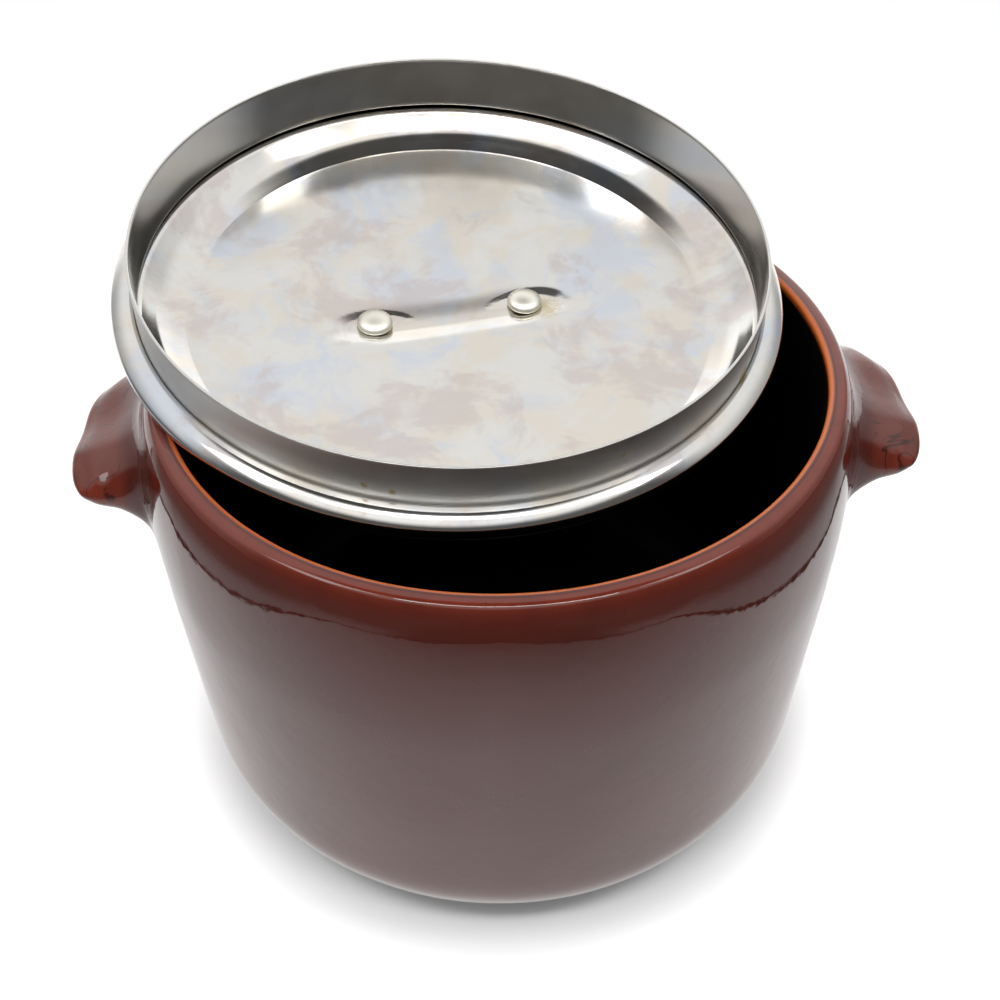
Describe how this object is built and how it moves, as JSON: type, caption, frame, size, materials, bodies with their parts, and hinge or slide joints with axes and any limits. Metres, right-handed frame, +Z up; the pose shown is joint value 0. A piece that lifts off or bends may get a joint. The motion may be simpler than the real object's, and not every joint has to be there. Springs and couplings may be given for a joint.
{
  "type": "bean pot",
  "caption": "Squat glazed stoneware bean pot with block lugs, its riveted steel lid laid upside down and askew across the open mouth.",
  "frame": {"origin": "middle of the crock's flat base", "axes": "+Z up along the crock's axis; X through the two lugs; -Y towards the picture's viewer"},
  "size_m": [0.2116, 0.1986, 0.1588],
  "materials": {
    "glazed_stoneware": "glossy red-brown glaze, near black inside",
    "stainless_steel": "polished, dulled by use, faint heat tint",
    "rivet_nickel": "bright, slightly yellow"
  },
  "bodies": {
    "crock": {"crock_body": "glazed_stoneware"},
    "lid": {"lid_cover": "stainless_steel", "lid_skirt": "stainless_steel", "handle_strap": "stainless_steel", "rivet_left": "rivet_nickel", "rivet_right": "rivet_nickel"}
  },
  "joints": [
    {"name": "lid_lift", "type": "slide", "parent": "crock", "child": "lid", "axis": [0, 0, 1], "range_m": [0, 0.12]}
  ]
}
